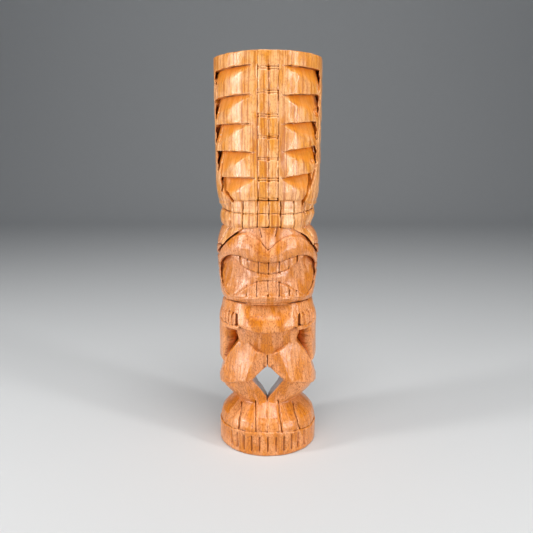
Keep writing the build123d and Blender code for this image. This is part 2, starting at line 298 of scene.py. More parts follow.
LEG_RADIUS = ((20, 26.5), (64, 26.5))
SHIN_RADIUS = ((20, 15.6), (24, 16.4), (26.4, 17.9), (30, 22), (33, 24.6), (35, 25.5), (44, 25.4))
SHIN_FRONT = [(0.2, 29.6), (8.3, 39.7), (15.5, 41.5), (24.6, 41.5), (26.4, 36), (26.2, 32.8),
    (22.7, 29.2), (18.8, 25.4), (16, 21), (0.2, 21)]
SHIN_SIDE = [(-16.2, 22), (-16.4, 27), (-18, 33), (-20.4, 39.4), (-20.4, 43), (21.8, 43),
    (21.8, 37), (18.4, 27), (18, 22)]
THIGH_FRONT = [(0, 52.8), (6.2, 56.6), (12.4, 61.4), (14.4, 61), (19.6, 54), (22.8, 48),
    (23.6, 44.6), (25.3, 40.8), (26.9, 36.4), (26.6, 33.8), (21.6, 36.4), (15.5, 39.2),
    (8.2, 40.9), (0, 47.2)]
THIGH_SIDE = [(-25.4, 36), (-25.4, 52), (-23.2, 62.5), (9, 62.5), (9, 32), (-19, 32)]
HIP_FRONT = [(0, 46), (9, 36.5), (16, 36), (26, 35.6), (25, 40), (23.2, 43.8), (23.4, 46.6),
    (26.6, 50.6), (26.6, 62), (0, 62)]
HIP_SIDE = [(6, 36), (20.5, 36), (24.6, 42), (25.4, 50), (22.4, 58), (20.4, 66), (6, 66)]
RIDGE_X, RIDGE_DEPTH, RIDGE_HEIGHT = 12.6, 25.1, 39.3   # a point on the thigh's ridge
RIDGE_LEAN, RIDGE_FALL = 0.416, 0.13        # inwards and backwards, for each mm upwards
THIGH_FACETS = ((-29, 0, -0.6), (24, 0, 0.3), (43, 1.05, 0.9))  # turn, twist, shift
FACET_ROUNDING = 0.008


def thigh(x, y, z):
    """A thigh with one facet turned in to its ridge and two turned out towards the knee."""
    above = z - RIDGE_HEIGHT
    ridge = RIDGE_X - above * RIDGE_LEAN
    back = y + RIDGE_DEPTH - RIDGE_FALL * above
    facets = None
    for turn, twist, shift in THIGH_FACETS:
        turn = np.radians(turn - twist * above)
        facet = np.sin(turn) * (x - ridge + shift) - np.cos(turn) * back
        facet = facet + FACET_ROUNDING * (x - ridge) ** 2
        facets = facet if facets is None else smooth_max(facets, facet, 0.5)
    return smooth_max(mass(THIGH_FRONT, THIGH_SIDE, LEG_RADIUS, 0.4)(x, y, z), facets, 0.4)


GAP_FRONT = (29.8, 39.8, 47, 8.2)           # the gap's foot, middle and top, and half its width
GAP_BACK = (15, 30.5, 43, 9)
GAP_REACH = 20.0                            # those two are this far before and behind the middle


def leg_gap(x, y, z):
    """The gap between the legs, a diamond in front that falls and widens towards the back."""
    share = (y + GAP_REACH) / (2.0 * GAP_REACH)
    foot, middle, top, half = (a + (b - a) * share for a, b in zip(GAP_FRONT, GAP_BACK))
    rise, fall = (middle - foot) / half, (top - middle) / half
    over_foot = (foot + rise * np.abs(x) - z) / np.sqrt(1.0 + rise * rise)
    under_top = (z - top + fall * np.abs(x)) / np.sqrt(1.0 + fall * fall)
    return smooth_max(over_foot, under_top, 0.6)


for side in (1, -1):
    reach = across(20, 64, side=side)
    shin = mass(SHIN_FRONT, SHIN_SIDE, SHIN_RADIUS, 0.6)
    hip = mass(HIP_FRONT, HIP_SIDE, LEG_RADIUS, 0.8)
    block.add(*reach, turned(shin, side), soft=0.4)
    block.add(*across(32, 68, side=side), turned(hip, side), soft=0.5)
    block.add(*reach, turned(thigh, side), soft=0.25)

# ---- trunk and arms

TRUNK_RADIUS = ((40, 22.4), (80, 22.4))
ABDOMEN_FRONT = [(-17.5, 70), (17.5, 70), (15.4, 62), (14.4, 57.6), (9, 53.6), (0, 46), (-9, 53.6),
    (-14.4, 57.6), (-15.4, 62)]
ABDOMEN_SIDE = [(-21.4, 70), (-20.4, 66.4), (-19, 59.5), (-19.8, 53), (-21, 46), (20.6, 46),
    (20.6, 70)]
# The back of the figure, left plain from the shoulders down to the heels.
LOIN_FRONT = whole([(0, 74), (20.6, 74), (20.6, 50), (16, 38), (13, 20), (0, 20)])
LOIN_SIDE = [(2, 74), (21.8, 74), (23.2, 62), (23.4, 52), (21.6, 42), (18.6, 33), (15.6, 27),
    (15, 20), (2, 20)]
LOIN_RADIUS = ((20, 15.4), (27, 16), (33, 19.4), (42, 22.6), (52, 24.6), (62, 24.8), (74, 24))
ARM_RADIUS = ((42, 23.8), (45, 25), (47.5, 26.1), (52, 26.35), (60, 26.2), (66.5, 26.3),
    (70, 26.1), (73, 25.9), (76, 24.9), (80, 24.2), (84, 23.4))
ARM_FRONT = [(14.6, 80.5), (27.5, 80.5), (27.5, 49), (25.7, 47.4), (22.4, 46.6), (18.6, 50),
    (14.2, 56.6), (14.6, 60)]
ARM_SIDE = [(-19.6, 80.5), (-21, 72), (-21.4, 66), (-21.4, 46), (-12, 44.6), (14, 46.4), (22, 52),
    (23.8, 66), (23.8, 75), (21, 81)]
HAND_FRONT = [(16.3, 75.3), (20.6, 76), (24.4, 74.4), (27, 71), (27, 67.6), (22.4, 66.7),
    (18.9, 67.1), (16.7, 69.4)]
HAND_RADIUS = ((60, 26.3), (70, 26.3), (73.5, 26.1), (76.5, 25.3), (78, 24.6))
CHEST_FRONT = whole([(0, 81.5), (27.5, 81.5), (27.5, 69.4), (17.4, 69.8), (15.2, 69.4), (11.6, 68),
    (6, 66.9), (0, 66.4)])
CHEST_SIDE = [(-19.8, 81.5), (-21.2, 78.4), (-22.9, 75.6), (-24.5, 72.6), (-25.3, 70.2),
    (-25.2, 66.6), (-24, 65.2), (-16, 65), (20.6, 66), (23.8, 72), (22, 81.5)]
CHEST_RADIUS = ((60, 26.2), (70, 26.1), (74, 25.5), (77, 24.6), (80, 24), (84, 23.6))
# The forearm's rounded front: its middle, half widths, backward fall per mm, and its two ends.
ARM_X, ARM_Y, ARM_WIDE, ARM_DEEP = 23.8, -4.5, 9.2, 9.6
ARM_FALL, ARM_FALL_TOP, ARM_ROUND_TOP = 0.16, 66, 67.0
# The hollow in the middle of the chest, an ellipsoid cut from in front.
HOLLOW_Y, HOLLOW_HEIGHT, HOLLOW_SIZE, HOLLOW_WIDE, HOLLOW_HIGH = -28.6, 77.6, 6.2, 2, 0.7
HAND_SLOT = [(15.4, 69.2), (15.6, 75.4), (16.5, 75.6), (16.6, 69)]
HAND_SLOT_BACK = -18.2
# Degrees from the front of the cuts between the fingers, their depths, and how far they lean.
FINGERS = {1: ((47, 1.2, 0.5), (57, 1.9, 0.5), (65.5, 1.9, 0.5), (74.5, 1.3, 0.5)),
           -1: ((45.5, 1.4, 0.5), (52, 1.2, -1.3), (59.5, 1.5, -1.3), (67.5, 1.4, -1.3))}
KNUCKLES = [(41, 69.6), (50, 68.8), (62, 69.4), (76, 70.2)]
BETWEEN_THIGHS = [(-0.4, 53.2), (-0.2, 46.6)]


def forearm(x, y, z):
    """The arm, round in front and falling away towards the waist."""
    forward = np.minimum(y - ARM_Y - ARM_FALL * (ARM_FALL_TOP - z), 0.0)
    rounded = np.sqrt(((x - ARM_X) / ARM_WIDE) ** 2 + (forward / ARM_DEEP) ** 2) - 1.0
    held = np.where(z > ARM_ROUND_TOP, -9.0, rounded * 6.0)
    return smooth_max(mass(ARM_FRONT, ARM_SIDE, ARM_RADIUS, 1.0)(x, y, z), held, 0.8)


def chest_hollow(x, y, z):
    """The shallow hollow in the middle of the chest, under the chin."""
    return np.sqrt((x / HOLLOW_WIDE) ** 2 + (y - HOLLOW_Y) ** 2
                   + ((z - HOLLOW_HEIGHT) / HOLLOW_HIGH) ** 2) - HOLLOW_SIZE


def hand_slot(x, y, z):
    """The upright slot between the hand and the chest."""
    seen = outline(HAND_SLOT, np.abs(x), z)
    return smooth_max(seen, y - HAND_SLOT_BACK, 0.3)


block.add(*across(44, 72), mass(ABDOMEN_FRONT, ABDOMEN_SIDE, TRUNK_RADIUS, 1.2), soft=0.5)
block.add(*across(16, 76), mass(LOIN_FRONT, LOIN_SIDE, LOIN_RADIUS, 1.2), soft=2.0)
for side in (1, -1):
    reach = across(42, 84, side=side)
    hand = mass(HAND_FRONT, ARM_SIDE, HAND_RADIUS, 0.9)
    block.add(*reach, turned(forearm, side), soft=0.3)
    block.add(*across(32, 64, side=side), turned(thigh, side), soft=0.25)
    block.add(*reach, turned(hand, side), soft=0.3)

block.add(*across(62, 84), mass(CHEST_FRONT, CHEST_SIDE, CHEST_RADIUS, 0.8), soft=0.3)
block.cut(*across(68, 84, front_only=True), chest_hollow, soft=2.0)
block.cut(*across(64, 80, front_only=True), hand_slot, soft=0.2)
for side in (1, -1):
    for turn, depth, lean in FINGERS[side]:
        points = [(turn - lean, 75.0 + 0.5 * depth), (turn + 0.3, 73.0), (turn + lean, 69.6)]
        score_round(66, 79, points, depth, 24.0, side)
    score_round(64, 74, KNUCKLES, 0.55, 40.0, side)
block.cut(*across(12, 50), leg_gap, soft=0.35)
score_front(44, 56, drawn(BETWEEN_THIGHS), 1.7, 15.0)

# ---- the head and its face

HEAD_SIDE = ((78, 22.6), (80.6, 23.4), (82, 24.2), (84, 24.9), (87, 25.5), (90.4, 25.8),
    (94, 26.2), (98, 26.4), (103, 26.8), (107, 27), (110, 26.9), (113, 26.3), (116, 25.4),
    (118.4, 24.5), (119.6, 24), (121, 24.5), (123.4, 25), (126, 24.9), (128.2, 24.4),
    (129.6, 24.4), (131, 24.8), (134, 25.2), (138, 25.2))
HEAD_FRONT = ((78, 22), (81, 22.8), (82.2, 24.2), (84.6, 25.8), (86.4, 26.1), (88, 25.9),
    (96, 26.2), (105, 26.7), (116, 26.2), (120, 25.3), (121.5, 25.2), (127.4, 25.1), (133.4, 25.2),
    (138, 25.2))
HEAD_ENDS = (80.6, 137)
FRONT_TURN, SIDE_TURN = 42, 58.0          # degrees between which the face gives way to the side
HOOD_DIP, HOOD_DIP_HEIGHT = 1.4, 121.0      # where the hood is cut back on the figure's left
CORE_RADIUS, CORE_ENDS = 19.5, (62, 150)
# Lines of the face, from the middle outwards: on the figure's left (+X), then on its right.
HOOD_ARCH = {
    1: [(0, 120.6), (6.1, 120.4), (10.8, 119.6), (14.1, 118.3), (16.8, 116.7), (19.7, 114.5),
        (22.1, 111.5), (25, 107.4), (27.5, 103)],
    -1: [(0, 120.6), (4.7, 120.6), (8.3, 120.2), (12.6, 119), (14.9, 117.6), (17.5, 115.6),
         (20.6, 113), (23.6, 109.4), (26, 106), (27.5, 103)],
}
LIP_TOP = {
    1: [(0, 109.5), (2.5, 110.8), (4.6, 112.6), (6.7, 114.3), (8.7, 115.4), (11.4, 116.1),
        (14.6, 115.9), (17.4, 114.8), (19.9, 112.9), (22.3, 110), (24.4, 106.7), (26.2, 104)],
    -1: [(0, 109.5), (1.4, 110.6), (3.2, 112.6), (5.2, 114.6), (7.6, 116.3), (9.9, 117.3),
         (12.6, 117.4), (15.3, 116.6), (18, 114.8), (20.4, 112.8), (22.6, 110.4), (24.2, 107.8),
         (26.2, 104.2)],
}
MOUTH_LINE = flowing([(24.5, 99.6), (23.8, 102.2), (22, 104.2), (19.4, 105.6), (16.2, 106),
    (12.9, 105.4), (9.1, 104.3), (5.5, 103.3), (0, 103)])
UPPER_TIPS = flowing([(18.4, 104.6), (13.8, 101), (9.8, 99.1), (5.5, 97.8), (0, 97.3)])
LOWER_TIPS = flowing([(0, 93.7), (5.7, 92.9), (10.8, 90.2), (14.4, 87.4), (18, 84.6)])
JAW_INSIDE = flowing([(24.5, 99.6), (25, 96), (24.6, 92.6), (23.6, 89.4), (22.3, 86.6),
    (20.2, 84.4), (17, 83.6), (13, 84.2), (7, 85.7), (0, 86.3)], rounds=1)
FROWN = {1: [(4.5, 119.8), (3.6, 116)], -1: [(4.3, 119.8), (3, 115.4)]}
# How far the parts of the face stand from the middle of the log.
BROW_RADIUS, UPPER_TOOTH_RADIUS, LOWER_TOOTH_RADIUS, MOUTH_RADIUS = 24.4, 24.9, 24.7, 22.9
# The swell of each: its size, then half its width and the heights or the height it lies at.
NOSE, NOSE_HALF, NOSE_TAPER, NOSE_HEIGHT, NOSE_ENDS = 1.3, 5, 0.05, 110, (121.5, 111)
TONGUE, TONGUE_HALF, TONGUE_HEIGHT, TONGUE_REACH = 1.9, (12.5, 2), 95.4, 5.0
CHEEK, CHEEK_X, CHEEK_HALF, CHEEK_HEIGHT, CHEEK_REACH = 1.5, 18.2, 9.5, 101, 11.0
RIM_RISE, RIM_REACH, RIM_CURVE = 2.5, 9, 1.7
LIP_BULGE, LIP_HALF, LIP_EDGE = 1.5, 4.6, 0.9
LIP_BEAD = 1.25                             # a fine line runs this far below the lip's top
LIP_BEAD_DEPTH = {1: 0.34, -1: 0.18}
JAW_SCORED = 91.0                           # the height under which the jaw's rim is scored
UPPER_GAPS = (-13.9, -9.9, -4.8, 0.3, 5.6, 10.6, 14.8)
LOWER_GAPS = (-10.8, -5.6, 0.1, 5.7, 10.8, 14.6)
LIP = whole(*[[*LIP_TOP[side], (27.6, 99.6), *MOUTH_LINE] for side in (1, -1)])
BROW = whole(*[[(0.0, 109.0), *LIP_TOP[side][1:], *reversed(HOOD_ARCH[side])]
               for side in (1, -1)])
UPPER_TEETH = whole([(0, 106.5), (18.4, 106.5), *UPPER_TIPS])
LOWER_TEETH = whole([*LOWER_TIPS, (17.6, 84), (0, 86.2)])
MOUTH = whole([*reversed(MOUTH_LINE), *JAW_INSIDE[1:]])


def face_radius(x, z):
    """How far the carved face stands from the middle of the log, at each x and z."""
    u, v = x + wander(z, x, 0.1), z + wander(x, z, 0.1)
    radius = profile(HEAD_FRONT, z) + 0.0 * x
    brow = outline(BROW, u, v)
    radius += ramp(0.35, -0.35, brow) * (BROW_RADIUS - radius)
    tapered = np.abs(u) * (1.0 + NOSE_TAPER * (v - NOSE_HEIGHT))
    nose = NOSE * ramp(NOSE_HALF, 0.0, tapered) * ramp(*NOSE_ENDS, v)
    radius += nose * ramp(0.3, -0.6, brow)
    mouth = outline(MOUTH, u, v)
    tongue = TONGUE * ramp(*TONGUE_HALF, np.abs(u)) * bump_at(TONGUE_HEIGHT, TONGUE_REACH, v)
    cheek = bump_at(CHEEK_X, CHEEK_HALF, np.abs(u)) * bump_at(CHEEK_HEIGHT, CHEEK_REACH, v)
    rim = np.clip(1.0 - stroke(JAW_INSIDE, np.abs(u), v) / RIM_REACH, 0.0, 1.0)
    inside = MOUTH_RADIUS + tongue - CHEEK * cheek + RIM_RISE * rim ** RIM_CURVE
    radius += ramp(0.3, -0.5, mouth) * (inside - radius)
    for teeth, stand in ((LOWER_TEETH, LOWER_TOOTH_RADIUS), (UPPER_TEETH, UPPER_TOOTH_RADIUS)):
        row = outline(teeth, u, v)
        radius += ramp(0.3, -0.3, row) * np.maximum(stand - radius, 0.0)
    lip = outline(LIP, u, v)
    swell = LIP_BULGE * np.sqrt(np.clip(-lip / LIP_HALF, 0.0, 1.0))
    rounded = profile(HEAD_FRONT, z) - LIP_EDGE + swell
    radius += ramp(0.25, -0.25, lip) * (rounded - radius)
    return radius


def head(x, y, z):
    """The head, carved in front and round at the sides and the back."""
    turn = np.abs(angle_of(x, y))
    share = ramp(FRONT_TURN, SIDE_TURN, turn)
    dip = HOOD_DIP * bump_at(HOOD_DIP_HEIGHT, 6.0, z) * ramp(12.0, 22.0, x)
    side = profile(HEAD_SIDE, z) - dip
    front = np.where(y < 0, face_radius(x, z), side)
    plain = profile(HEAD_FRONT, z)
    carved = front + share * (side - plain)
    hull = radius_of(x, y) - np.minimum(carved, side + 0.6 * (1.0 - share))
    return np.maximum(hull, np.maximum(HEAD_ENDS[0] - z, z - HEAD_ENDS[1]))


def core(x, y, z):
    """The middle of the log, which runs through the neck and up into the headdress."""
    return np.maximum(radius_of(x, y) - CORE_RADIUS,
                      np.maximum(CORE_ENDS[0] - z, z - CORE_ENDS[1]))


block.add(*across(58, 154), core, soft=0.2)
block.add(*across(78, 138), head, soft=0.25)

NECK = [(-180, 80.9), (-60, 81), (-40, 81.3), (0, 81.7), (40, 81.3), (60, 81), (180, 80.9)]
score_round(78, 85, NECK, 0.6, 40.0)
for side in (1, -1):
    bead = [(x, z - LIP_BEAD) for x, z in LIP_TOP[side][1:-4]]
    jaw = [point for point in JAW_INSIDE if point[1] < JAW_SCORED]
    for points, depth, half_angle in ((HOOD_ARCH[side], 0.8, 28.0),
                                      (HOOD_ARCH[side][4:-1], 1.5, 15.0),
                                      (LIP_TOP[side], 0.5, 30.0),
                                      (bead, LIP_BEAD_DEPTH[side], 28.0),
                                      (MOUTH_LINE, 0.55, 30.0), (UPPER_TIPS, 0.35, 30.0),
                                      (LOWER_TIPS, 0.55, 34.0), (FROWN[side], 0.8, 30.0),
                                      (jaw, 0.75, 34.0)):
        score_front(80, 136, drawn(points, side), depth, half_angle, side)
for x_gap in UPPER_GAPS:
    low = float(np.interp(abs(x_gap), *zip(*reversed(UPPER_TIPS)))) - 0.4
    high = float(np.interp(abs(x_gap), *zip(*reversed(MOUTH_LINE)))) + 0.1
    line = drawn([(x_gap, high), (x_gap * 0.985, low)])
    score_front(95, 108, line, 0.95, 22.0)
for x_gap in LOWER_GAPS:
    high = float(np.interp(abs(x_gap), *zip(*LOWER_TIPS))) + 0.3
    line = drawn([(x_gap * 0.98, high), (x_gap, 85.6 - 0.02 * abs(x_gap))])
    score_front(83, 96, line, 0.85, 22.0)

# ---- temples, hood and headband

BAND_CUTS = (-49.5, -30, -12, 1.2, 14.6, 31.4, 49.2)
BACK_CUTS = tuple(range(68, 180, 18))
BAND_MIDDLE = [(-180, 127.6), (-90, 128.9), (-74, 128.5), (-50, 127.5), (-29, 126.9), (0, 127.1),
    (15, 126.9), (33, 126.8), (53, 127.6), (75, 128.6), (90, 128.9), (180, 127.6)]
BAND_DROP = 0.088                           # the outer band cuts end lower, mm at 10 degrees
# Cuts round each side of the head, and their depths.
SIDE_CUTS = (([(64, 110.6), (80, 109.6), (106, 110.4)], 1.1), ([(74, 104.6), (84, 103.4),
    (104, 104.4)], 0.9), ([(78, 96.6), (92, 95.6), (104, 96)], 0.7), ([(50, 121.9), (58, 117.6),
    (66, 112)], 0.9), ([(52, 127), (74, 128.4), (88, 127.6)], 0.6), ([(104, 120.6), (105, 110),
    (106, 86)], 0.9), ([(66, 121.4), (78, 119.7), (104, 119.6)], 0.8))
for side in (1, -1):
    for points, depth in SIDE_CUTS:
        score_round(80, 134, points, depth, 36.0, side)
    for turn in BACK_CUTS:
        score_round(118, 136, [(turn, 132.6), (turn + 0.8, 120.9)], 0.75, 30.0, side)
score_round(124, 131, BAND_MIDDLE, 0.7, 36.0)
for turn in BAND_CUTS:
    foot = 120.6 - BAND_DROP * (turn / 10.0) ** 2
    cut = [(turn * 0.97, 133.8), (turn, 127.4), (turn * 1.02, foot)]
    block.score(*across(117, 136, front_only=True), wound(cut), 1.0, 24.0)

# ---- the tall headdress

CROWN = ((132.6, 25.5), (134, 26.1), (137.5, 26.7), (142, 27), (150, 27.15), (165, 27.25),
    (178, 27.4), (190, 27.45), (203, 27.4))
LEAVES_BOTTOM = ((0, 133.7), (44, 133.5), (50, 131.6), (60, 130.7), (110, 130.7), (122, 133.2),
    (180, 133.4))
SLOPE_TURNS, SLOPES = (14, 60), (0.62, 0.26)
# Each notch: where it ends sideways (mm), then its ledge and its facet (degrees and heights).
NOTCHES = {
    1: ((25.3, [(14.6, 196.2), (62, 196.3)],
         [(12, 197.6), (15.4, 195.4), (36, 191.4), (64, 185.8)]),
        (24.9, [(13.6, 182.8), (60, 184.4)],
         [(11, 184.4), (14.4, 182.2), (34, 177.2), (62, 172.2)]),
        (23.9, [(12.6, 169.6), (59, 171.6)],
         [(10.6, 171.2), (13.4, 169.2), (31.6, 165.2), (60.5, 160.8)]),
        (23.9, [(12.8, 156.8), (59, 159.8)],
         [(10.6, 158.4), (14, 156.4), (32, 152.4), (60, 148.8)]),
        (21.2, [(12.6, 144.3), (52, 146.7)],
         [(10.6, 146), (14.2, 143.6), (27.4, 139.8), (46, 137)])),
    -1: ((26.1, [(16.4, 196.6), (63, 195.9)],
          [(14, 198.2), (17.7, 195.2), (38.4, 191.5), (64, 187.4)]),
         (26.1, [(15, 183.5), (70, 182.6)],
          [(13, 185), (17.4, 182.2), (40, 177.9), (69, 171.4)]),
         (26, [(10.8, 169.9), (71.8, 170.2)],
          [(9.6, 171.6), (12.8, 169.6), (39, 165.7), (62, 159.4)]),
         (25.2, [(10.8, 156.6), (63, 157.4)],
          [(9.6, 158.4), (12.8, 156), (41, 150.1), (56, 145.6)]),
         (23, [(10.6, 144.5), (56, 144.4)],
          [(9.6, 146.2), (14.4, 143), (40, 137), (50, 134.6)])),
}
LEDGE_SLOPE = 0.10                          # the ledge falls this much for each mm inwards
POCKET_END = 84.0                           # degrees at which the hidden end of a notch stops
EDGE_GROOVES = {
    1: [(71, 191.6), (68, 187.4), (73.5, 181.6), (65, 176.4), (72.5, 170.2), (66, 164),
        (68, 158.4), (70, 153.4), (61, 147.6), (55, 141.6), (48, 136.4), (44.4, 132.4),
        (47.4, 127)],
    -1: [(70, 187.6), (66, 183.4), (71, 176), (64, 168.6), (67, 162.4), (63.4, 150.6),
         (60.4, 142), (57, 137.2), (49, 135.6), (44.4, 133.6), (44.8, 128)],
}
EDGE_GROOVE_DEPTH = {1: 1.7, -1: 0.9}
LOW_GROOVE = (131, 152)                 # heights between which the groove is cut again, wider
PIT_RADIUS, PIT_SQUASH = 26.9, 0.8
# Each pit's turn in degrees, height and size.
PITS = {
    1: ((69, 187.6, 1.7), (63.5, 176.6, 2.2), (55, 168, 1.3), (57, 153, 1.6),
        (52.6, 146, 1.2)),
    -1: ((68.5, 154.6, 1.5), (60, 143.4, 1.1), (52, 135.9, 1.1)),
}
EDGE_NICKS, EDGE_NICK_TOP, EDGE_PITCH, EDGE_END = 6, 190.6, 10.4, 104.0
# The spine's upright lines, each with the height that it starts from, and its paired joints.
SPINE_LINES = ((-4.9, 201.6), (0.3, 194.6), (4.9, 201.6))
SPINE_FAINT, SPINE_DEEP, SPINE_FOOT = 196.5, 196.2, 133.8
SPINE_JOINTS = ((195.6, 194.5), (184.9, 183.8), (174.1, 173), (164.1, 163.2), (153.9, 153),
    (144.3, 143.1), (134.7, 133.6))


def crown(x, y, z):
    """The barrel of the headdress, before it is notched."""
    bottom = np.interp(np.abs(angle_of(x, y)), *zip(*LEAVES_BOTTOM))
    barrel = smooth_max(radius_of(x, y) - profile(CROWN, z), z - HEIGHT + INSIDE_BOX, 0.5)
    return smooth_max(barrel, bottom - z, 0.35)


def notch(end, top, diagonal, side):
    """The wedge cut out above a leaf: a ledge above it, and a facet that deepens upwards."""
    def shape(x, y, z):
        rho, turn = radius_of(x, y), side * angle_of(x, y)
        arc = np.radians(turn) * CROWN_RADIUS
        ledge = z - np.interp(turn, *zip(*top)) + wander(arc, z, 0.05)
        ledge = ledge + LEDGE_SLOPE * (rho - CROWN_RADIUS)
        fall = np.interp(turn, *zip(*diagonal)) + wander(arc, z, 0.08)
        slope = np.interp(turn, SLOPE_TURNS, SLOPES)
        facet = (profile(CROWN, z) - slope * (z - fall) - rho) / np.sqrt(1.0 + slope * slope)
        past_end = np.maximum(side * x - end + wander(z, x, 0.25, 5.0), 0.5 * (turn - POCKET_END))
        return np.maximum(np.maximum(ledge, facet), past_end)
    return shape


def pit(turn, height, size):
    """A small round pit, its turn in radians from the front."""
    centre_x, centre_y = PIT_RADIUS * math.sin(turn), -PIT_RADIUS * math.cos(turn)

    def shape(x, y, z):
        level = (x - centre_x) ** 2 + (y - centre_y) ** 2
        return np.sqrt(level + ((z - height) * PIT_SQUASH) ** 2 + 0.01) - size
    return shape


block.add(*across(129, 206), crown, soft=0.2)
for side in (1, -1):
    for end, top, diagonal in NOTCHES[side]:
        low, high = min(z for _, z in diagonal) - 1.0, max(z for _, z in top) + 2.0
        block.cut(*across(low, high, side=side), notch(end, top, diagonal, side), soft=0.12)
    groove = EDGE_GROOVES[side]
    score_round(125, 192, groove, EDGE_GROOVE_DEPTH[side], 19.0, side, CROWN_RADIUS)
    low_groove = [point for point in groove if LOW_GROOVE[0] < point[1] < LOW_GROOVE[1]]
    score_round(129, 154, low_groove, 1.9, 34.0, side, CROWN_RADIUS)
    for turn, height, size in PITS[side]:
        block.cut(*across(height - 4, height + 4, side=side),
                  pit(math.radians(turn) * side, height, size), soft=0.4)
    for step in range(EDGE_NICKS):
        z = EDGE_NICK_TOP - step * EDGE_PITCH
        nick = [(84.0, z + 1.2), (92.0, z), (EDGE_END, z + 0.6)]
        score_round(z - 4, z + 5, nick, 1.5, 42.0, side)
    edge_line = [(EDGE_END, 199.5), (EDGE_END + 0.8, 168.0), (EDGE_END, 131.4)]
    score_round(128, 202, edge_line, 1.1, 34.0, side)
for x_line, top in SPINE_LINES:
    score_front(132, 204, drawn([(x_line, top), (x_line, SPINE_FAINT)]), 0.35, 40.0)
    score_front(132, 204, drawn([(x_line, SPINE_DEEP), (x_line, SPINE_FOOT)]), 0.7, 36.0)
for pair in SPINE_JOINTS:
    for z in pair:
        score_front(z - 2, z + 2, drawn([(-4.7, z + 0.1), (4.9, z - 0.1)]), 0.65, 36.0)

# ---- plinth gouges and toes

# The cuts between the toes, with their depths.
TOES = {1: (([(5.4, 27), (7.4, 13.2)], 1.25), ([(13.2, 24.2), (16.8, 12.4)], 1.25),
            ([(20.4, 21), (22.9, 12)], 0.5)),
        -1: (([(6.4, 26.6), (6.2, 13.8)], 1.25), ([(13.9, 23.8), (15.4, 13)], 1.25),
             ([(20.6, 21.4), (22.6, 12.8)], 0.5))}
BETWEEN_FEET = [(-0.4, 31), (-0.2, 13.6)]
HEEL_X, HEEL_Y = -0.2, 4.0                  # where the line between the heels runs and begins


def between_heels(x, y, z):
    """Distance from the upright plane between the heels."""
    return np.abs(x - HEEL_X) + np.maximum(HEEL_Y - y, 0.0) + 0.0 * z


def gouge(turn):
    """An upright cut in the plinth, running out at both ends."""
    middle, half = (GOUGE_LOW + GOUGE_HIGH) / 2.0, (GOUGE_HIGH - GOUGE_LOW) / 2.0

    def line(x, y, z):
        u = np.radians(angle_of(x, y) - turn) * PLINTH_RADIUS
        return np.abs(u) + 0.9 * (np.abs(z - middle) / half) ** 8
    return line


for side in (1, -1):
    for points, depth in TOES[side]:
        score_front(9, 32, drawn(points, side), depth, 21.0, side)
score_front(12, 34, drawn(BETWEEN_FEET), 0.7, 26.0)
block.score(*across(12, 34), between_heels, 0.9, 26.0)
score_round(9, 16, list(zip(RIM_TURNS, RIM_HEIGHTS)), 0.35, 40.0)
for number in range(GOUGES):
    block.score(*across(0.5, 13, front_only=True), gouge((number - GOUGES // 2) * GOUGE_PITCH),
                1.15, 33.0)

# ---- unevenness of the handwork

SWELLS = ((11, 0.07), (6.3, 0.05), (3.1, 0.022))      # length and height, mm
FULL_TURN = 6.28


def unevenness(x, y, z):
    """Slow swells, in shares of a millimetre, over the whole carving."""
    total = 0.0
    for length, size in SWELLS:
        k = 2.0 * math.pi / length
        a, b, c = rng.uniform(0.0, FULL_TURN, 3)
        total = total + size * (np.sin(k * x + a) * np.sin(k * y * 0.9 + b)
                                + np.sin(k * z * 0.55 + c) * np.sin(k * (x + y) * 0.7 + a))
    return total


_, grid_x, grid_y, grid_z = block.window(block.low - 1.0, BOX_HIGH + 10.0)
block.field += unevenness(grid_x, grid_y, grid_z)
for axis, coordinate in enumerate((grid_x, grid_y, grid_z)):
    # Nothing carved stands outside the CAD model's box.
    wall = np.maximum(coordinate - BOX_HIGH[axis], BOX_LOW[axis] - coordinate) + INSIDE_BOX
    block.field = np.maximum(block.field, wall)

# ---- which node each voxel is in

NODES = sorted(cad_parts)
COLUMN_SHIFT = (0.0137, 0.0191)             # keeps the rays off the meshes' corners, mm
DOME_ENDS, DOME_REACH = (8, 26), 0.5    # where wood by the feet's dome goes to the feet, mm


